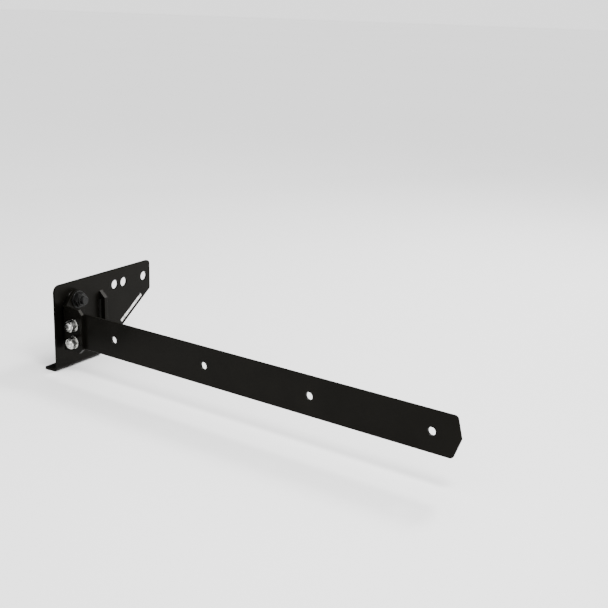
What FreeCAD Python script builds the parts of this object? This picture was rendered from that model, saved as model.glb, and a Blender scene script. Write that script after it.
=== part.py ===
import FreeCAD, Part
import os
import re

import Sketcher

# Side-mounted bracket with a swinging arm, one hand of a left and right pair.
# +Z is up, +Y runs along the mounting plate towards its tapered end, and +X
# points out of the plate's front, the way the arm reaches.  The origin is the
# centre of the first mounting hole on the plate's back face.  Millimetres.

os.makedirs("parts", exist_ok=True)
doc = FreeCAD.newDocument("swing_arm_bracket")
V = FreeCAD.Vector

SIZES = [
    # Mounting plate: sizes run from its lower hinge-end corner, on the back face.
    ("plate_thick", 3.18, "1/8 inch plate"),
    ("plate_length", 203.2, "8 inch along the plate"),
    ("plate_height", 124.3, "height at the hinge end"),
    ("short_edge", 44.5, "height of the tapered end"),
    ("diagonal_angle", 34.3, "slope of the tapered lower edge, degrees"),
    ("foot_length", 91.5, "length of the stiffening foot"),
    ("foot_reach", 24.5, "foot from the plate's front face to its toe"),
    ("foot_bend", 3.2, "inside radius of the foot's bend"),
    ("relief_up", 6.0, "height of the step beside the bend"),
    ("hinge_round", 10.0, "corner radius, upper hinge end"),
    ("far_round", 6.5, "corner radius, upper tapered end"),
    ("small_round", 2.5, "radius of the remaining corners"),
    ("edge_round", 0.6, "softened sheared edges"),
    ("hole_up", 101.4, "height of the hole row"),
    ("hole_along", 123.8, "first hole from the hinge end"),
    ("hole_step_near", 19.5, "first to second hole"),
    ("hole_step_far", 45.7, "second to third hole"),
    ("hole_dia", 13.8, "clearance for a 1/2 inch bolt"),
    # Stop bar welded to the plate's front.
    ("stop_along", 90.1, "near side of the stop bar"),
    ("stop_wide", 6.35, "stop bar along the plate"),
    ("stop_deep", 9.525, "stop bar out of the plate"),
    ("stop_low", 37.8, "lower end of the stop bar"),
    ("stop_high", 99.3, "upper end at the plate"),
    ("stop_slant", 9.5, "drop of the slanted upper end"),
    ("weld_leg", 2.6, "leg of the weld beads"),
    ("weld_short", 3.0, "bead ends short of the bar"),
    # Pivot hardware, centred on the pivot axis.
    ("pivot_along", 37.2, "pivot from the hinge end"),
    ("pivot_up", 99.7, "height of the pivot"),
    ("pivot_dia", 12.7, "1/2 inch pivot bolt"),
    ("pivot_hole_dia", 13.1, "hole in the plate for the pivot bolt"),
    ("pivot_length", 28.6, "pivot bolt under its head"),
    ("bolt_point", 1.1, "chamfered ends of the bolts"),
    ("pivot_flats", 19.05, "pivot head and nut across flats"),
    ("pivot_head_high", 8.0, "pivot bolt head"),
    ("washer_dia", 24.6, "pivot washers"),
    ("washer_rim", 0.25, "cut rims of the washers"),
    ("back_washer_thick", 2.8, "washer under the bolt head"),
    ("front_washer_thick", 1.9, "washer under the nut"),
    ("hinge_gap", 3.2, "plate front to the back of the web"),
    ("end_play", 0.15, "clearance each side of the web"),
    ("bushing_flange_dia", 23.0, "bushing flange"),
    ("bushing_dia", 15.88, "bushing sleeve"),
    ("bushing_bore", 12.9, "bushing bore"),
    ("nut_hex_high", 5.8, "hexagon part of the lock nut"),
    ("nut_collar_high", 2.6, "round collar of the lock nut"),
    ("nut_collar_dia", 17.2, "outside of the collar"),
    ("collar_round", 0.9, "rounded edge of the collar"),
    ("collar_over", 0.6, "collar beyond the nylon ring"),
    ("collar_lip", 0.4, "collar turned in over the nylon ring"),
    ("insert_dia", 15.4, "outside of the nylon ring"),
    ("insert_high", 1.9, "nylon ring"),
    ("thread_clear", 0.05, "radial gap in the nuts"),
    # Swinging bracket, bent from one strip.
    ("strip_thick", 4.76, "3/16 inch strip"),
    ("web_bore", 16.04, "running fit on the bushing"),
    ("lobe_round", 13.7, "rounded top of the web about the pivot"),
    ("slant_start", 14.4, "where the web's upper edge starts to climb"),
    ("web_low", 38.3, "lower edge of the web"),
    ("web_step_near", 14.9, "tab's lower edge ends"),
    ("web_step_far", 20.5, "web's lower edge starts"),
    ("web_round", 3.0, "web's lower corner"),
    ("bend", 2.4, "inside bend radius"),
    ("splay", 4.6, "arm leans away from square, degrees"),
    ("tab_inside", 13.2, "inner face of the tab where it meets the web"),
    ("tab_reach", 35.9, "tab from the web's front face to its end"),
    ("tab_low", 32.8, "lower edge of the tab"),
    ("tab_high", 95.7, "upper edge of the tab"),
    ("tab_cut", 6.6, "cut corners of the tab"),
    # Arm, flat bar lying on the tab's inner face.
    ("arm_width", 50.8, "2 inch flat bar"),
    ("arm_thick", 3.18, "1/8 inch flat bar"),
    ("arm_low", 39.6, "lower edge of the arm"),
    ("arm_start", 2.6, "arm's inner end from the web's front face"),
    ("arm_shoulder", 613.0, "where the far end's upper edge starts to taper"),
    ("arm_shoulder_low", 609.8, "where the far end's lower edge starts to taper"),
    ("arm_end_round", 5.0, "rounded corners of the far end"),
    ("arm_tip", 619.5, "far end at mid height"),
    ("arm_round", 0.8, "rolled edges of the bar"),
    ("arm_hole_dia", 9.9, "holes along the arm"),
    ("arm_hole_first", 93.3, "first hole from the web's front face"),
    ("arm_hole_step", 160.5, "first to second hole"),
    ("arm_hole_pitch", 164.6, "spacing of the holes from the second on"),
    # Carriage bolts joining the arm to the tab.
    ("bolt_reach", 21.2, "arm bolts from the web's front face"),
    ("bolt_low", 48.3, "lower arm bolt"),
    ("bolt_spacing", 24.3, "lower to upper arm bolt"),
    ("bolt_dia", 9.525, "3/8 inch bolt"),
    ("bolt_length", 21.0, "bolt under its head"),
    ("bolt_hole_dia", 10.3, "holes in the tab"),
    ("dome_dia", 20.0, "bolt head"),
    ("dome_high", 4.6, "bolt head"),
    ("neck_wide", 9.6, "square neck"),
    ("neck_deep", 2.8, "square neck"),
    ("neck_hole", 9.9, "square holes in the arm"),
    ("lock_washer_dia", 17.3, "split washer under each nut"),
    ("lock_washer_thick", 2.4, "split washer under each nut"),
    ("lock_washer_split", 1.6, "width of its split"),
    ("bolt_flats", 14.29, "nut across flats"),
    ("bolt_nut_high", 8.3, "nut height"),
    # Painted stripe along the tapered edge.
    ("stripe_from", 21.2, "near end, down the slope from the tapered end"),
    ("stripe_to", 76.6, "far end, down the slope from the tapered end"),
    ("stripe_edge", 4.8, "stripe to the tapered edge"),
    ("stripe_wide", 4.4, "stripe width"),
    ("stripe_thick", 0.2, "paint"),
]

sheet = doc.addObject("Spreadsheet::Sheet", "Sizes")
for row, (alias, size, note) in enumerate(SIZES, 1):
    sheet.set(f"A{row}", alias)
    sheet.set(f"B{row}", str(size))
    sheet.set(f"C{row}", note)
    sheet.setAlias(f"B{row}", alias)
doc.recompute()

ALIASES = re.compile(r"\b(" + "|".join(alias for alias, _, _ in SIZES) + r")\b")

# Expressions used by several parts.
BEND_TOP = "(foot_bend + plate_thick)"
DIAGONAL_LOW = "(plate_length - (plate_height - short_edge - relief_up) / tan(diagonal_angle))"
WEB_BACK = "(plate_thick + hinge_gap)"
WEB_FRONT = "(plate_thick + hinge_gap + strip_thick)"
WEB_FAR = "(pivot_along + lobe_round)"
CLIMB = (
    "(asin(lobe_round / hypot(pivot_along - slant_start; pivot_up - tab_high))"
    " + atan((pivot_up - tab_high) / (pivot_along - slant_start)))"
)
WEB_PEAK = f"(tab_high + ({WEB_FAR} - slant_start) * tan({CLIMB}))"
WASHER_SEAT = f"({WEB_FRONT} + end_play)"
NUT_SEAT = f"({WEB_FRONT} + end_play + front_washer_thick)"
ARM_MIDDLE = "(arm_low + arm_width / 2)"


def sized(text):
    """Turn an expression in plain size names into one that reads the sheet."""
    return ALIASES.sub(r"Sizes.\1", str(text))


def value(text):
    """Current value of an expression, in millimetres or degrees."""
    answer = sheet.evalExpression(sized(text))
    return float(getattr(answer, "Value", answer))


def new_body(name, x="0", y="0", z="0", turn=None):
    """Body placed by sheet sizes, turned clockwise about +Z when asked."""
    body = doc.addObject("PartDesign::Body", name)
    body.Label = name
    if turn:
        body.Placement = FreeCAD.Placement(V(0, 0, 0), FreeCAD.Rotation(V(0, 0, -1), value(turn)))
        body.setExpression("Placement.Rotation.Angle", sized(turn))
    for axis, distance in zip("xyz", (x, y, z)):
        body.setExpression(f"Placement.Base.{axis}", sized(distance))
    return body


def plate_body(name):
    """Body whose own origin is the plate's lower hinge-end corner."""
    return new_body(name, "0", "-hole_along", "-hole_up")


def pivot_body(name):
    """Body whose own X axis is the pivot axis, starting at the plate's back face."""
    return new_body(name, "0", "pivot_along - hole_along", "pivot_up - hole_up")


def bolt_body(name, height):
    """Body whose own X axis is an arm bolt's axis, starting between arm and tab."""
    x = f"{WEB_FRONT} + bolt_reach * cos(splay)"
    y = "tab_inside - hole_along - bolt_reach * sin(splay)"
    return new_body(name, x, y, f"{height} - hole_up", turn="90 + splay")


def add_sketch(body, name, role, lift="0"):
    """Sketch on one of the body's own planes, lifted along the plane's normal."""
    sketch = body.newObject("Sketcher::SketchObject", f"{body.Name}_{name}")
    plane = next(item for item in body.Origin.OriginFeatures if item.Role == role)
    sketch.AttachmentSupport = [(plane, "")]
    sketch.MapMode = "FlatFace"
    sketch.setExpression("AttachmentOffset.Base.z", sized(lift))
    return sketch


def hold(sketch, kind, place, text):
    """Tie one coordinate of a sketch point to an expression."""
    number = sketch.addConstraint(Sketcher.Constraint(kind, -1, 1, *place, value(text)))
    sketch.setExpression(f"Constraints[{number}]", sized(text))


def polygon(sketch, corners):
    """Closed outline whose corners are tied to expressions."""
    first = sketch.GeometryCount
    spots = [V(value(x), value(y), 0) for x, y in corners]
    count = len(spots)
    for index, spot in enumerate(spots):
        line = Part.LineSegment(spot, spots[(index + 1) % count])
        sketch.addGeometry(line, False)
    for index in range(count):
        after = first + (index + 1) % count
        sketch.addConstraint(Sketcher.Constraint("Coincident", first + index, 2, after, 1))
    for index, (x, y) in enumerate(corners):
        hold(sketch, "DistanceX", (first + index, 1), x)
        hold(sketch, "DistanceY", (first + index, 1), y)
    return sketch


def circle(sketch, x, y, diameter):
    """Circle whose centre and diameter are tied to expressions."""
    centre = V(value(x), value(y), 0)
    round_edge = Part.Circle(centre, V(0, 0, 1), value(diameter) / 2)
    number = sketch.addGeometry(round_edge, False)
    hold(sketch, "DistanceX", (number, 3), x)
    hold(sketch, "DistanceY", (number, 3), y)
    size = sketch.addConstraint(Sketcher.Constraint("Diameter", number, value(diameter)))
    sketch.setExpression(f"Constraints[{size}]", sized(diameter))
    return sketch


def pad(body, sketch, length, reverse=False):
    """Add material from a sketch."""
    feature = body.newObject("PartDesign::Pad", f"{sketch.Name}_pad")
    feature.Profile = sketch
    feature.setExpression("Length", sized(length))
    feature.Reversed = reverse
    sketch.Visibility = False
    doc.recompute()
    return feature


def pocket(body, sketch, reverse=True):
    """Cut a sketch right through, on the side its plane's normal points to."""
    before = body.Shape.Volume
    feature = body.newObject("PartDesign::Pocket", f"{sketch.Name}_pocket")
    feature.Profile = sketch
    feature.Type = "ThroughAll"
    feature.Reversed = reverse
    sketch.Visibility = False
    doc.recompute()
    if body.Shape.Volume > before - 1e-6:
        raise ValueError(f"{feature.Name} cuts nothing")
    return feature


def spin(body, sketch, kind="Revolution"):
    """Revolve a sketch about the body's own X axis, adding or cutting."""
    feature = body.newObject(f"PartDesign::{kind}", f"{sketch.Name}_{kind.lower()}")
    feature.Profile = sketch
    feature.ReferenceAxis = (sketch, ["H_Axis"])
    feature.Angle = 360
    sketch.Visibility = False
    doc.recompute()
    return feature


def soften(body, name, kind, size, spots):
    """Fillet or chamfer the edges of the body's tip that pass through the spots."""
    tip = body.Tip
    names = []
    for spot in spots:
        point = Part.Vertex(V(*[value(part) for part in spot]))
        near = [edge.distToShape(point)[0] for edge in tip.Shape.Edges]
        best = min(range(len(near)), key=near.__getitem__)
        if near[best] > 0.01:
            raise ValueError(f"{body.Name}: no edge through {spot}")
        names.append(f"Edge{best + 1}")
    feature = body.newObject(f"PartDesign::{kind}", f"{body.Name}_{name}")
    feature.Base = (tip, names)
    feature.setExpression("Radius" if kind == "Fillet" else "Size", sized(size))
    doc.recompute()
    if "Invalid" in feature.State:
        raise ValueError(f"{feature.Name} did not rebuild")


def hexagon(body, name, flats, start, length):
    """Six-sided prism about the body's own X axis."""
    sketch = add_sketch(body, name, "YZ_Plane", start)
    reach = f"{flats} / 2 / cos(30)"
    corners = [(f"{reach} * cos({a})", f"{reach} * sin({a})") for a in range(0, 360, 60)]
    return pad(body, polygon(sketch, corners), length)


def trim_corners(body, name, flats, face, inward):
    """Cut the hexagon's corners back to a cone at one end face."""
    sketch = add_sketch(body, name, "XY_Plane")
    near = f"{flats} * 0.475"
    far = f"{flats} * 0.62"
    depth = f"{inward} * {flats} * 0.145 * tan(30)"
    spin(body, polygon(sketch, [(face, near), (face, far), (f"{face} + {depth}", far)]), "Groove")


def ring(name, place, inner, outer, start, end):
    """Plain round washer about the body's own X axis."""
    body = place(name)
    sketch = add_sketch(body, "section", "XY_Plane")
    low = f"({inner}) / 2"
    high = f"({outer}) / 2"
    spin(body, polygon(sketch, [(start, low), (end, low), (end, high), (start, high)]))
    middle = f"({outer} / 2) * cos(37)"
    side = f"({outer} / 2) * sin(37)"
    soften(body, "rims", "Chamfer", "washer_rim", [(start, middle, side), (end, middle, side)])
    return body


def mounting_plate():
    """Tapered plate with its lower edge bent back into a foot."""
    body = plate_body("mounting_plate")
    toe = "plate_thick - foot_reach"
    foot = add_sketch(body, "foot", "XZ_Plane")
    corners = [
        (toe, "0"),
        ("plate_thick", "0"),
        ("plate_thick", f"{BEND_TOP} * 2"),
        ("0", f"{BEND_TOP} * 2"),
        ("0", "plate_thick"),
        (toe, "plate_thick"),
    ]
    pad(body, polygon(foot, corners), "foot_length", reverse=True)
    half = "foot_length / 2"
    soften(body, "bend_inside", "Fillet", "foot_bend", [("0", half, "plate_thick")])
    soften(body, "bend_outside", "Fillet", BEND_TOP, [("plate_thick", half, "0")])
    toe_ends = [(toe, "0", "plate_thick / 2"), (toe, "foot_length", "plate_thick / 2")]
    soften(body, "toe_corners", "Fillet", "small_round", toe_ends)

    flat = add_sketch(body, "flat", "YZ_Plane")
    corners = [
        ("0", BEND_TOP),
        ("foot_length", BEND_TOP),
        ("foot_length", "relief_up"),
        (DIAGONAL_LOW, "relief_up"),
        ("plate_length", "plate_height - short_edge"),
        ("plate_length", "plate_height"),
        ("0", "plate_height"),
    ]
    pad(body, polygon(flat, corners), "plate_thick")

    middle = "plate_thick / 2"
    soften(body, "hinge_corner", "Fillet", "hinge_round", [(middle, "0", "plate_height")])
    soften(body, "far_corner", "Fillet", "far_round", [(middle, "plate_length", "plate_height")])
    low_corners = [
        (middle, "plate_length", "plate_height - short_edge"),
        (middle, DIAGONAL_LOW, "relief_up"),
    ]
    soften(body, "low_corners", "Fillet", "small_round", low_corners)

    holes = add_sketch(body, "holes", "YZ_Plane")
    second = "hole_along + hole_step_near"
    for along in ("hole_along", second, f"{second} + hole_step_far"):
        circle(holes, along, "hole_up", "hole_dia")
    circle(holes, "pivot_along", "pivot_up", "pivot_hole_dia")
    pocket(body, holes)


def stop_bar():
    """Short upright bar that the swinging web comes to rest against."""
    body = plate_body("stop_bar")
    sketch = add_sketch(body, "side", "XZ_Plane", "-stop_along - stop_wide")
    front = "plate_thick + stop_deep"
    corners = [
        ("plate_thick", "stop_low"),
        (front, "stop_low"),
        (front, "stop_high - stop_slant"),
        ("plate_thick", "stop_high"),
    ]
    pad(body, polygon(sketch, corners), "stop_wide")
    height = "(stop_low + stop_high) / 2"
    far = "stop_along + stop_wide"
    uprights = [(front, "stop_along", height), (front, far, height)]
    soften(body, "edges", "Fillet", "edge_round", uprights)


def stop_bar_welds():
    """Fillet weld bead on each long side of the stop bar."""
    body = plate_body("stop_bar_welds")
    body.AllowCompound = True
    sketch = add_sketch(body, "beads", "XY_Plane", "stop_low + weld_short")
    for side, outward in (("stop_along", -1), ("(stop_along + stop_wide)", 1)):
        bulge = f"{side} + {outward} * weld_leg * 0.62"
        corners = [
            ("plate_thick", side),
            ("plate_thick", f"{side} + {outward} * weld_leg"),
            ("plate_thick + weld_leg * 0.62", bulge),
            ("plate_thick + weld_leg", side),
        ]
        polygon(sketch, corners)
    pad(body, sketch, "stop_high - stop_slant - stop_low - weld_short * 2")


def label_strip():
    """Plain painted stripe along the tapered lower edge."""
    body = plate_body("label_strip")
    sketch = add_sketch(body, "stripe", "YZ_Plane", "plate_thick")

    def spot(down, inset):
        across = f"plate_length - ({down}) * cos(diagonal_angle) - ({inset}) * sin(diagonal_angle)"
        low = "(plate_height - short_edge)"
        up = f"{low} - ({down}) * sin(diagonal_angle) + ({inset}) * cos(diagonal_angle)"
        return across, up

    inner = "stripe_edge + stripe_wide"
    corners = [
        spot("stripe_from", "stripe_edge"),
        spot("stripe_to", "stripe_edge"),
        spot("stripe_to", inner),
        spot("stripe_from", inner),
    ]
    pad(body, polygon(sketch, corners), "stripe_thick")


def pivot_bolt():
    """Hexagon bolt from the plate's back, carrying the swinging bracket."""
    body = pivot_body("pivot_bolt")
    seat = "-back_washer_thick"
    hexagon(body, "head", "pivot_flats", f"{seat} - pivot_head_high", "pivot_head_high")
    trim_corners(body, "head_trim", "pivot_flats", f"{seat} - pivot_head_high", 1)
    shank = circle(add_sketch(body, "shank", "YZ_Plane", seat), "0", "0", "pivot_dia")
    pad(body, shank, "pivot_length")
    end = "pivot_length - back_washer_thick"
    rim = [(end, "pivot_dia / 2 * cos(37)", "pivot_dia / 2 * sin(37)")]
    soften(body, "end", "Chamfer", "bolt_point", rim)


def pivot_bushing():
    """Flanged sleeve: spaces the web off the plate and runs in its bore."""
    body = pivot_body("pivot_bushing")
    sketch = add_sketch(body, "section", "XY_Plane")
    inside = "bushing_bore / 2"
    sleeve = "bushing_dia / 2"
    flange = "bushing_flange_dia / 2"
    step = f"{WEB_BACK} - end_play"
    corners = [
        ("plate_thick", inside),
        (WASHER_SEAT, inside),
        (WASHER_SEAT, sleeve),
        (step, sleeve),
        (step, flange),
        ("plate_thick", flange),
    ]
    spin(body, polygon(sketch, corners))


def pivot_nut():
    """Lock nut: hexagon with a round collar that holds the nylon ring."""
    body = pivot_body("pivot_nut")
    hexagon(body, "hexagon", "pivot_flats", NUT_SEAT, "nut_hex_high")
    trim_corners(body, "seat_trim", "pivot_flats", NUT_SEAT, 1)
    top = f"({NUT_SEAT} + nut_hex_high)"
    trim_corners(body, "top_trim", "pivot_flats", top, -1)
    collar = circle(add_sketch(body, "collar", "YZ_Plane", top), "0", "0", "nut_collar_dia")
    pad(body, collar, "nut_collar_high")
    end = f"({top} + nut_collar_high)"
    rim = [(end, "nut_collar_dia / 2 * cos(37)", "nut_collar_dia / 2 * sin(37)")]
    soften(body, "collar_edge", "Fillet", "collar_round", rim)
    bore = add_sketch(body, "bore", "YZ_Plane", f"{NUT_SEAT} - 1")
    pocket(body, circle(bore, "0", "0", "pivot_dia + thread_clear * 2"))
    recess = add_sketch(body, "recess", "XY_Plane")
    ring_wide = "insert_dia / 2"
    low = f"{end} - collar_over - insert_high"
    high = f"{end} - collar_over"
    lip = "insert_dia / 2 - collar_lip"
    corners = [
        (low, "0"),
        (low, ring_wide),
        (high, ring_wide),
        (high, lip),
        (f"{end} + 1", lip),
        (f"{end} + 1", "0"),
    ]
    spin(body, polygon(recess, corners), "Groove")


def pivot_nut_insert():
    """Nylon ring gripping the thread."""
    top = f"({NUT_SEAT} + nut_hex_high + nut_collar_high - collar_over)"
    low = f"({top} - insert_high)"
    ring("pivot_nut_insert", pivot_body, "pivot_dia + thread_clear", "insert_dia", low, top)


def tab_sketch(body, name):
    """Sketch on the tab's inner face, measured from where it meets the web."""
    sketch = add_sketch(body, name, "XZ_Plane", "-tab_inside")
    sketch.AttachmentOffset = FreeCAD.Placement(
        V(0, 0, 0), FreeCAD.Rotation(V(0, -1, 0), value("splay"))
    )
    sketch.setExpression("AttachmentOffset.Rotation.Angle", sized("splay"))
    sketch.setExpression("AttachmentOffset.Base.x", sized(WEB_FRONT))
    return sketch


def swing_bracket():
    """Bent strip: a web that turns on the bushing and a tab that takes the arm."""
    body = plate_body("swing_bracket")
    strip = add_sketch(body, "strip", "XY_Plane", "tab_low")
    end_x = f"{WEB_FRONT} + tab_reach * cos(splay)"
    end_y = "tab_inside - tab_reach * sin(splay)"
    bend_y = "tab_inside + strip_thick * tan(splay) - strip_thick / cos(splay)"
    corners = [
        (WEB_BACK, WEB_FAR),
        (WEB_FRONT, WEB_FAR),
        (WEB_FRONT, "tab_inside"),
        (end_x, end_y),
        (f"{end_x} - strip_thick * sin(splay)", f"{end_y} - strip_thick * cos(splay)"),
        (WEB_BACK, bend_y),
    ]
    pad(body, polygon(strip, corners), f"{WEB_PEAK} - tab_low")
    height = "tab_low + 10"
    soften(body, "bend_inside", "Fillet", "bend", [(WEB_FRONT, "tab_inside", height)])
    soften(body, "bend_outside", "Fillet", "bend + strip_thick", [(WEB_BACK, bend_y, height)])

    above = add_sketch(body, "above", "YZ_Plane")
    over = f"{WEB_PEAK} + 5"
    corners = [
        ("-20", "tab_high"),
        ("slant_start", "tab_high"),
        (WEB_FAR, WEB_PEAK),
        (WEB_FAR, over),
        ("-20", over),
    ]
    pocket(body, polygon(above, corners))
    below = add_sketch(body, "below", "YZ_Plane")
    corners = [
        ("web_step_near", "tab_low"),
        ("web_step_far", "web_low"),
        (f"{WEB_FAR} + 5", "web_low"),
        (f"{WEB_FAR} + 5", "tab_low - 5"),
        ("web_step_near", "tab_low - 5"),
    ]
    pocket(body, polygon(below, corners))
    middle = f"({WEB_BACK} + strip_thick / 2)"
    soften(body, "lobe", "Fillet", "lobe_round", [(middle, WEB_FAR, WEB_PEAK)])
    soften(body, "low_corner", "Fillet", "web_round", [(middle, WEB_FAR, "web_low")])

    cut_x = f"{end_x} - strip_thick / 2 * sin(splay)"
    cut_y = f"{end_y} - strip_thick / 2 * cos(splay)"
    ends = [(cut_x, cut_y, "tab_low"), (cut_x, cut_y, "tab_high")]
    soften(body, "tab_corners", "Chamfer", "tab_cut", ends)

    climb = (WEB_FRONT, "slant_start + lobe_round / 2", f"tab_high + lobe_round / 2 * tan({CLIMB})")
    far_side = (WEB_FRONT, WEB_FAR, "(web_low + pivot_up) / 2")
    soften(body, "front_edges", "Fillet", "edge_round", [climb, far_side])

    bore = add_sketch(body, "bore", "YZ_Plane")
    pocket(body, circle(bore, "pivot_along", "pivot_up", "web_bore"))
    holes = tab_sketch(body, "bolt_holes")
    for height in ("bolt_low", "bolt_low + bolt_spacing"):
        circle(holes, "bolt_reach", height, "bolt_hole_dia")
    pocket(body, holes)


def arm():
    """Long flat bar with four holes and a shallow pointed end."""
    body = new_body("arm", WEB_FRONT, "tab_inside - hole_along", "-hole_up", turn="splay")
    outline = add_sketch(body, "outline", "XZ_Plane")
    high = "arm_low + arm_width"
    corners = [
        ("arm_start", "arm_low"),
        ("arm_shoulder_low", "arm_low"),
        ("arm_tip", ARM_MIDDLE),
        ("arm_shoulder", high),
        ("arm_start", high),
    ]
    pad(body, polygon(outline, corners), "arm_thick", reverse=True)
    deep = "arm_thick / 2"
    far_end = [("arm_shoulder_low", deep, "arm_low"), ("arm_shoulder", deep, high)]
    soften(body, "end_corners", "Fillet", "arm_end_round", far_end)
    half = "arm_shoulder / 2"
    edges = [(half, thick, up) for thick in ("0", "arm_thick") for up in ("arm_low", high)]
    soften(body, "edges", "Fillet", "arm_round", edges)
    holes = add_sketch(body, "holes", "XZ_Plane")
    circle(holes, "arm_hole_first", ARM_MIDDLE, "arm_hole_dia")
    for index in range(3):
        along = f"arm_hole_first + arm_hole_step + {index} * arm_hole_pitch"
        circle(holes, along, ARM_MIDDLE, "arm_hole_dia")
    half = "neck_hole / 2"
    for height in ("bolt_low", "bolt_low + bolt_spacing"):
        square = [
            (f"bolt_reach - {half}", f"{height} - {half}"),
            (f"bolt_reach + {half}", f"{height} - {half}"),
            (f"bolt_reach + {half}", f"{height} + {half}"),
            (f"bolt_reach - {half}", f"{height} + {half}"),
        ]
        polygon(holes, square)
    pocket(body, holes, reverse=False)


def arm_bolt(name, height):
    """Carriage bolt: domed head on the arm, square neck in it, thread through the tab."""
    body = bolt_body(name, height)
    shank = add_sketch(body, "shank", "YZ_Plane", "-arm_thick")
    pad(body, circle(shank, "0", "0", "bolt_dia"), "bolt_length")
    end = "bolt_length - arm_thick"
    rim = [(end, "bolt_dia / 2 * cos(37)", "bolt_dia / 2 * sin(37)")]
    soften(body, "end", "Chamfer", "bolt_point", rim)
    neck = add_sketch(body, "neck", "YZ_Plane", "-arm_thick")
    half = "neck_wide / 2"
    square = [(f"-{half}", f"-{half}"), (half, f"-{half}"), (half, half), (f"-{half}", half)]
    pad(body, polygon(neck, square), "neck_deep")
    dome = dome_section(add_sketch(body, "dome", "XY_Plane"))
    spin(body, dome)


def dome_section(sketch):
    """Half section of the domed head: seat, axis and arc, centred on the axis."""
    seat = value("-arm_thick")
    crown = value("-arm_thick - dome_high")
    wide = value("dome_dia / 2")
    radius = (wide * wide + (seat - crown) ** 2) / (2 * (seat - crown))
    shoulder = V(seat, wide, 0)
    top = V(crown, 0, 0)
    middle = crown + radius
    part_way = (shoulder + top) * 0.5 - V(middle, 0, 0)
    on_arc = V(middle, 0, 0) + part_way.normalize() * radius
    sketch.addGeometry(Part.LineSegment(V(seat, 0, 0), shoulder), False)
    sketch.addGeometry(Part.Arc(shoulder, on_arc, top), False)
    sketch.addGeometry(Part.LineSegment(top, V(seat, 0, 0)), False)
    hold(sketch, "DistanceX", (0, 1), "-arm_thick")
    hold(sketch, "DistanceY", (0, 1), "0")
    hold(sketch, "DistanceX", (0, 2), "-arm_thick")
    hold(sketch, "DistanceY", (0, 2), "dome_dia / 2")
    hold(sketch, "DistanceX", (2, 1), "-arm_thick - dome_high")
    hold(sketch, "DistanceY", (2, 1), "0")
    ends = {sketch.getPoint(1, end).y > wide / 2: end for end in (1, 2)}
    sketch.addConstraint(Sketcher.Constraint("Coincident", 0, 2, 1, ends[True]))
    sketch.addConstraint(Sketcher.Constraint("Coincident", 2, 1, 1, ends[False]))
    sketch.addConstraint(Sketcher.Constraint("Coincident", 2, 2, 0, 1))
    hold(sketch, "DistanceY", (1, 3), "0")
    return sketch


def arm_nut(name, height):
    """Plain hexagon nut against the washer on the tab's outer face."""
    body = bolt_body(name, height)
    seat = "(strip_thick + lock_washer_thick)"
    hexagon(body, "hexagon", "bolt_flats", seat, "bolt_nut_high")
    trim_corners(body, "seat_trim", "bolt_flats", seat, 1)
    trim_corners(body, "top_trim", "bolt_flats", f"({seat} + bolt_nut_high)", -1)
    bore = add_sketch(body, "bore", "YZ_Plane", f"{seat} - 1")
    pocket(body, circle(bore, "0", "0", "bolt_dia + thread_clear * 2"))


def arm_lock_washer(name, height):
    """Spring washer between a nut and the tab, with its slanted split on top."""
    def place(label):
        return bolt_body(label, height)

    outside = "(strip_thick + lock_washer_thick)"
    body = ring(name, place, "bolt_hole_dia", "lock_washer_dia", "strip_thick", outside)
    split = add_sketch(body, "split", "XY_Plane")
    corners = [
        ("strip_thick", "-lock_washer_split"),
        ("strip_thick", "0"),
        (outside, "lock_washer_split"),
        (outside, "0"),
    ]
    pocket(body, polygon(split, corners))


mounting_plate()
stop_bar()
stop_bar_welds()
label_strip()
pivot_bolt()
ring("pivot_back_washer", pivot_body, "pivot_hole_dia", "washer_dia", "-back_washer_thick", "0")
pivot_bushing()
ring("pivot_front_washer", pivot_body, "pivot_hole_dia", "washer_dia", WASHER_SEAT, NUT_SEAT)
pivot_nut()
pivot_nut_insert()
swing_bracket()
arm()
for level, height in (("lower", "bolt_low"), ("upper", "(bolt_low + bolt_spacing)")):
    arm_bolt(f"arm_bolt_{level}", height)
    arm_lock_washer(f"arm_lock_washer_{level}", height)
    arm_nut(f"arm_nut_{level}", height)

doc.recompute()
for item in doc.Objects:
    if "Invalid" in item.State or "Error" in item.State:
        raise ValueError(f"{item.Name} did not rebuild: {item.State}")
for body in doc.findObjects("PartDesign::Body"):
    if body.Shape.isNull() or not body.Shape.isValid() or not body.Shape.Solids:
        raise ValueError(f"{body.Label} is not a sound solid")
    body.Shape.exportStep(f"parts/{body.Label}.step")
    print(body.Label, len(body.Shape.Solids), round(body.Shape.Volume, 1))
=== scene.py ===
import math

import bpy
from mathutils import Matrix, Vector


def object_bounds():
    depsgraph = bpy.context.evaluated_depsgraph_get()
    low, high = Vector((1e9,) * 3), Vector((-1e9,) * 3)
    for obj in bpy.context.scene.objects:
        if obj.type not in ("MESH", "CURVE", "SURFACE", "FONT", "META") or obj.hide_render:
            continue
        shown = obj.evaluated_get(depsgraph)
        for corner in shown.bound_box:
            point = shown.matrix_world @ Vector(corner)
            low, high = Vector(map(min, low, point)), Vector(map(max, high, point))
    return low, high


# Looks for the swinging-arm bracket: black powder coat, bright zinc arm bolts,
# black pivot hardware and a plain worn white stripe, on a plain pale floor.
# Lengths are in metres, noise scales per metre and lamp powers in watts.

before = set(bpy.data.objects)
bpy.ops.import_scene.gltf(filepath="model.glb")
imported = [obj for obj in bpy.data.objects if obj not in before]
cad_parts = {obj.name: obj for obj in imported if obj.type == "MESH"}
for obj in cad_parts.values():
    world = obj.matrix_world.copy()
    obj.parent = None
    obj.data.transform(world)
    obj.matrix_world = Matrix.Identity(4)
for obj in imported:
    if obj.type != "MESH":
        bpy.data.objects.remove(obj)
CAD_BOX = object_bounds()

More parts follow.
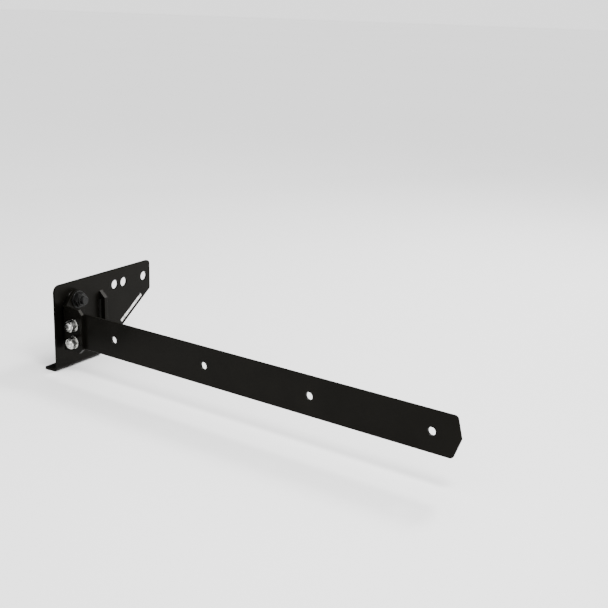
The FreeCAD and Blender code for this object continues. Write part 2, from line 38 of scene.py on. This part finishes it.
# Camera in the part's frame.
CAMERA_AT = Vector((1.0218, -1.1407, 0.4068))
CAMERA_RIGHT = Vector((0.85095, 0.52457, 0.02672))
CAMERA_UP = Vector((-0.16585, 0.22007, 0.96128))
CAMERA_LENS = 62.4
CAMERA_SENSOR = 36.0
CAMERA_FAR = 100.0

# Surroundings.
SURROUND_COLOUR = (1.0, 1.0, 1.0, 1.0)
SURROUND_STRENGTH = 1.8
LAMPS = [
    # name, position, aimed at, size, power
    ("key", (0.61, 1.13, 1.21), (0.03, -0.07, 0.0), (0.35, 0.35), 27.0),
    ("front", (0.87, -0.42, 0.9), (0.0, -0.1, 0.0), (0.3, 0.3), 14.0),
]
CARDS = [
    # name, one end on the floor, other end, height
    ("side_card", (-0.40, -0.02), (-0.005, -0.26), 0.2),
    ("back_card", (-1.6, 0.2), (-0.2, 2.2), 1.2),
]
CARD_BLACK = (0.002, 0.002, 0.002, 1.0)
FLOOR_HALF = 30.0
FLOOR_GAP = 0.0005
FLOOR_TONES = ((0.3, (0.9, 0.9, 0.9, 1.0)), (0.7, (0.92, 0.92, 0.92, 1.0)))
FLOOR_TONE_SCALE = 0.6
FLOOR_ROUGHNESS = 0.8

# Each finish has tones, as (place on the noise, colour) stops, and a range of
# roughness. A cloud is the noise that both follow.

# Black powder coat, and the same over a weld.
COAT = (0.0019, 0.0018, 0.0014, 1.0)
COAT_WORN = (0.003, 0.0028, 0.0022, 1.0)
COAT_TONES = ((0.35, COAT), (0.7, COAT_WORN))
COAT_REFLECTION = (1.0, 0.95, 0.85, 1.0)
COAT_SPECULAR = 0.047
COAT_ROUGHNESS = (0.3, 0.4)
COAT_CLOUD = 22.0
COAT_WAVE = 60.0
COAT_WAVE_DEPTH = 0.00012
COAT_PEEL = 900.0
COAT_PEEL_DEPTH = 0.00003
WELD_ROUGHNESS = (0.32, 0.45)
WELD_CLOUD = 120.0
WELD_CLOUD_DEPTH = 0.0002
WELD_RIPPLE = 90.0
WELD_RIPPLE_DISTORTION = 2.5
WELD_RIPPLE_DEPTH = 0.0004

# Bolts, nuts, washers and the bushing.
BLACK = ((0.003, 0.003, 0.003, 1.0), (0.008, 0.008, 0.0075, 1.0))
ZINC = ((0.42, 0.42, 0.4, 1.0), (0.72, 0.72, 0.69, 1.0))
HARDWARE_SPECULAR = 0.12
BLACK_ROUGHNESS = (0.28, 0.42)
BLACK_THREAD_ROUGHNESS = (0.3, 0.45)
ZINC_ROUGHNESS = (0.18, 0.32)
ZINC_THREAD_ROUGHNESS = (0.2, 0.34)
TURNED_ROUGHNESS = (0.25, 0.4)
TURNED_GRAIN = (8.0, 1.0, 1.0)
EVEN_GRAIN = (1.0, 1.0, 1.0)
BRUSHED_STOPS = (0.3, 0.68)
BRUSHED_CLOUD = 260.0
BRUSHED_CLOUD_DEPTH = 0.00008
SCRATCH = 1500.0
SCRATCH_DEPTH = 0.00002
THREAD_STOPS = (0.35, 0.65)
THREAD_CLOUD = 320.0
THREAD_CLOUD_DEPTH = 0.00003
THREAD_DEPTH = 0.00025
PIVOT_THREAD_PITCH = 0.00195
ARM_BOLT_THREAD_PITCH = 0.00159

# Worn white paint.
PAINT_TONES = ((0.38, (0.16, 0.16, 0.15, 1.0)), (0.52, (0.66, 0.66, 0.64, 1.0)))
PAINT_ROUGHNESS = (0.45, 0.6)
PAINT_CLOUD = 300.0
PAINT_DEPTH = 0.00003

# Nylon ring of the pivot nut.
NYLON_TONES = ((0.3, (0.008, 0.008, 0.008, 1.0)), (0.7, (0.016, 0.016, 0.015, 1.0)))
NYLON_ROUGHNESS = (0.4, 0.55)
NYLON_CLOUD = 700.0
NYLON_DEPTH = 0.00004

# How the texture nodes count.
NOISE_LOW = 0.3  # most values of a noise lie between this and the next
NOISE_HIGH = 0.7
WAVE_FACTOR = 20.0  # a wave texture multiplies its scale by this


def node_material(name):
    """Empty node material with its output and main shader."""
    material = bpy.data.materials.new(name)
    material.use_nodes = True
    tree = material.node_tree
    tree.nodes.clear()
    output = tree.nodes.new("ShaderNodeOutputMaterial")
    shader = tree.nodes.new("ShaderNodeBsdfPrincipled")
    tree.links.new(shader.outputs["BSDF"], output.inputs["Surface"])
    return material, tree, shader


def noise(tree, scale, detail=3.0, stretch=EVEN_GRAIN):
    """Noise fixed to the object, optionally stretched along an axis."""
    place = tree.nodes.new("ShaderNodeTexCoord")
    mapping = tree.nodes.new("ShaderNodeMapping")
    mapping.inputs["Scale"].default_value = stretch
    texture = tree.nodes.new("ShaderNodeTexNoise")
    texture.inputs["Scale"].default_value = scale
    texture.inputs["Detail"].default_value = detail
    tree.links.new(place.outputs["Object"], mapping.inputs["Vector"])
    tree.links.new(mapping.outputs["Vector"], texture.inputs["Vector"])
    return texture.outputs["Fac"]


def rings(tree, axis, scale, distortion=0.0):
    """Waves across one axis of the object."""
    place = tree.nodes.new("ShaderNodeTexCoord")
    texture = tree.nodes.new("ShaderNodeTexWave")
    texture.bands_direction = axis
    texture.inputs["Scale"].default_value = scale
    texture.inputs["Distortion"].default_value = distortion
    tree.links.new(place.outputs["Object"], texture.inputs["Vector"])
    return texture.outputs["Fac"]


def tint(tree, shader, source, tones):
    """Base colour that follows a value between two stops."""
    node = tree.nodes.new("ShaderNodeValToRGB")
    for element, (position, colour) in zip(node.color_ramp.elements, tones):
        element.position = position
        element.color = colour
    tree.links.new(source, node.inputs["Fac"])
    tree.links.new(node.outputs["Color"], shader.inputs["Base Color"])


def roughen(tree, shader, source, levels):
    """Roughness that follows a noise between two levels."""
    node = tree.nodes.new("ShaderNodeMapRange")
    node.inputs["From Min"].default_value = NOISE_LOW
    node.inputs["From Max"].default_value = NOISE_HIGH
    node.inputs["To Min"].default_value, node.inputs["To Max"].default_value = levels
    tree.links.new(source, node.inputs["Value"])
    tree.links.new(node.outputs["Result"], shader.inputs["Roughness"])


def bump(tree, shader, heights):
    """Stack of bumps: each entry is a height socket and its depth."""
    normal = None
    for height, depth in heights:
        node = tree.nodes.new("ShaderNodeBump")
        node.inputs["Strength"].default_value = 1.0
        node.inputs["Distance"].default_value = depth
        tree.links.new(height, node.inputs["Height"])
        if normal:
            tree.links.new(normal, node.inputs["Normal"])
        normal = node.outputs["Normal"]
    tree.links.new(normal, shader.inputs["Normal"])


def powder_coat():
    """Semi-gloss black coating with fine orange peel and a slight unevenness."""
    material, tree, shader = node_material("powder_coat")
    cloud = noise(tree, COAT_CLOUD)
    tint(tree, shader, cloud, COAT_TONES)
    roughen(tree, shader, cloud, COAT_ROUGHNESS)
    peel = noise(tree, COAT_PEEL, detail=2.0)
    wave = noise(tree, COAT_WAVE, detail=1.0)
    bump(tree, shader, [(wave, COAT_WAVE_DEPTH), (peel, COAT_PEEL_DEPTH)])
    shader.inputs["Specular IOR Level"].default_value = COAT_SPECULAR
    shader.inputs["Specular Tint"].default_value = COAT_REFLECTION
    return material


def weld_coat():
    """The coating over a rippled weld bead."""
    material, tree, shader = node_material("weld_coat")
    cloud = noise(tree, WELD_CLOUD)
    tint(tree, shader, cloud, COAT_TONES)
    roughen(tree, shader, cloud, WELD_ROUGHNESS)
    ripple = rings(tree, "Z", WELD_RIPPLE, WELD_RIPPLE_DISTORTION)
    bump(tree, shader, [(ripple, WELD_RIPPLE_DEPTH), (cloud, WELD_CLOUD_DEPTH)])
    shader.inputs["Specular IOR Level"].default_value = COAT_SPECULAR
    return material


def threaded(name, colours, roughness, metallic, axis, pitch):
    """Mottled metal with the rings of a thread across its axis."""
    material, tree, shader = node_material(name)
    cloud = noise(tree, THREAD_CLOUD)
    tint(tree, shader, cloud, zip(THREAD_STOPS, colours))
    roughen(tree, shader, cloud, roughness)
    shader.inputs["Metallic"].default_value = metallic
    shader.inputs["Specular IOR Level"].default_value = HARDWARE_SPECULAR
    thread = rings(tree, axis, 1.0 / pitch / WAVE_FACTOR * 2.0 * math.pi)
    bump(tree, shader, [(thread, THREAD_DEPTH), (cloud, THREAD_CLOUD_DEPTH)])
    return material


def brushed(name, colours, roughness, metallic, grain=EVEN_GRAIN):
    """Mottled metal with faint scratches."""
    material, tree, shader = node_material(name)
    cloud = noise(tree, BRUSHED_CLOUD)
    tint(tree, shader, cloud, zip(BRUSHED_STOPS, colours))
    roughen(tree, shader, cloud, roughness)
    shader.inputs["Metallic"].default_value = metallic
    shader.inputs["Specular IOR Level"].default_value = HARDWARE_SPECULAR
    scratch = noise(tree, SCRATCH, stretch=grain)
    bump(tree, shader, [(cloud, BRUSHED_CLOUD_DEPTH), (scratch, SCRATCH_DEPTH)])
    return material


def stripe_paint():
    """White paint, worn thin in places, over the coating."""
    material, tree, shader = node_material("stripe_paint")
    cloud = noise(tree, PAINT_CLOUD, detail=5.0)
    tint(tree, shader, cloud, PAINT_TONES)
    roughen(tree, shader, cloud, PAINT_ROUGHNESS)
    bump(tree, shader, [(cloud, PAINT_DEPTH)])
    return material


def nylon():
    """Dark nylon ring with a moulded grain."""
    material, tree, shader = node_material("nylon")
    cloud = noise(tree, NYLON_CLOUD)
    tint(tree, shader, cloud, NYLON_TONES)
    roughen(tree, shader, cloud, NYLON_ROUGHNESS)
    bump(tree, shader, [(cloud, NYLON_DEPTH)])
    return material


def floor_paper():
    """Pale floor with a barely visible tone."""
    material, tree, shader = node_material("floor_paper")
    tint(tree, shader, noise(tree, FLOOR_TONE_SCALE), FLOOR_TONES)
    shader.inputs["Roughness"].default_value = FLOOR_ROUGHNESS
    return material


def card_cloth(name):
    """Dull black for a card."""
    material, _, shader = node_material(name)
    shader.inputs["Base Color"].default_value = CARD_BLACK
    shader.inputs["Specular IOR Level"].default_value = 0.0
    return material


def finish_nodes():
    """Give every CAD node its material."""
    coat = powder_coat()
    black_plain = brushed("black_hardware", BLACK, BLACK_ROUGHNESS, 0.0)
    zinc_plain = brushed("zinc_plate", ZINC, ZINC_ROUGHNESS, 1.0)
    pivot_thread = ("black_thread", BLACK, BLACK_THREAD_ROUGHNESS, 0.0, "X", PIVOT_THREAD_PITCH)
    bolt_thread = ("zinc_thread", ZINC, ZINC_THREAD_ROUGHNESS, 1.0, "Y", ARM_BOLT_THREAD_PITCH)
    looks = {
        "mounting_plate": coat,
        "stop_bar": coat,
        "stop_bar_welds": weld_coat(),
        "label_strip": stripe_paint(),
        "swing_bracket": coat,
        "arm": coat,
        "pivot_bolt": threaded(*pivot_thread),
        "pivot_back_washer": black_plain,
        "pivot_front_washer": black_plain,
        "pivot_nut": black_plain,
        "pivot_bushing": brushed("turned_steel", ZINC, TURNED_ROUGHNESS, 1.0, TURNED_GRAIN),
        "pivot_nut_insert": nylon(),
    }
    zinc_thread = threaded(*bolt_thread)
    for level in ("lower", "upper"):
        looks[f"arm_bolt_{level}"] = zinc_thread
        looks[f"arm_lock_washer_{level}"] = zinc_plain
        looks[f"arm_nut_{level}"] = zinc_plain
    for name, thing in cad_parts.items():
        for place in thing.material_slots:
            place.material = looks[name]


def add_sheet(name, corners, material):
    """Flat four-sided surface."""
    mesh = bpy.data.meshes.new(name)
    mesh.from_pydata(corners, [], [(0, 1, 2, 3)])
    sheet = bpy.data.objects.new(name, mesh)
    sheet.data.materials.append(material)
    bpy.context.collection.objects.link(sheet)
    return sheet


def add_floor():
    """Large pale plane just below the object."""
    low = CAD_BOX[0][2] - FLOOR_GAP
    half = FLOOR_HALF
    corners = [(-half, -half, low), (half, -half, low), (half, half, low), (-half, half, low)]
    floor = add_sheet("floor", corners, floor_paper())


def add_card(name, start, end, height):
    """Upright black card beside the object, seen only in its reflections."""
    low = CAD_BOX[0][2]
    high = low + height
    corners = [(*start, low), (*end, low), (*end, high), (*start, high)]
    card = add_sheet(name, corners, card_cloth(f"{name}_cloth"))
    card.visible_camera = False
    card.visible_diffuse = False
    card.visible_shadow = False


def add_surround():
    """Even white light from all round."""
    world = bpy.data.worlds.new("surround")
    world.use_nodes = True
    backdrop = world.node_tree.nodes["Background"]
    backdrop.inputs["Color"].default_value = SURROUND_COLOUR
    backdrop.inputs["Strength"].default_value = SURROUND_STRENGTH
    bpy.context.scene.world = world


def add_lamp(name, position, target, size, power):
    """Rectangular soft light aimed at a point."""
    lamp = bpy.data.lights.new(name, "AREA")
    lamp.shape = "RECTANGLE"
    lamp.size, lamp.size_y = size
    lamp.energy = power
    thing = bpy.data.objects.new(name, lamp)
    thing.location = position
    aim = Vector(target) - Vector(position)
    thing.rotation_euler = aim.to_track_quat("-Z", "Y").to_euler()
    bpy.context.collection.objects.link(thing)


def add_camera():
    """Camera at the standard viewing angle."""
    camera = bpy.data.cameras.new("camera")
    camera.lens = CAMERA_LENS
    camera.sensor_width = CAMERA_SENSOR
    camera.clip_end = CAMERA_FAR
    thing = bpy.data.objects.new("camera", camera)
    right = CAMERA_RIGHT.normalized()
    back = right.cross(CAMERA_UP).normalized()
    up = back.cross(right)
    turn = Matrix((right, up, back)).transposed().to_4x4()
    thing.matrix_world = Matrix.Translation(CAMERA_AT) @ turn
    bpy.context.collection.objects.link(thing)
    bpy.context.scene.camera = thing


finish_nodes()
add_floor()
for card in CARDS:
    add_card(*card)
add_surround()
for lamp in LAMPS:
    add_lamp(*lamp)
add_camera()
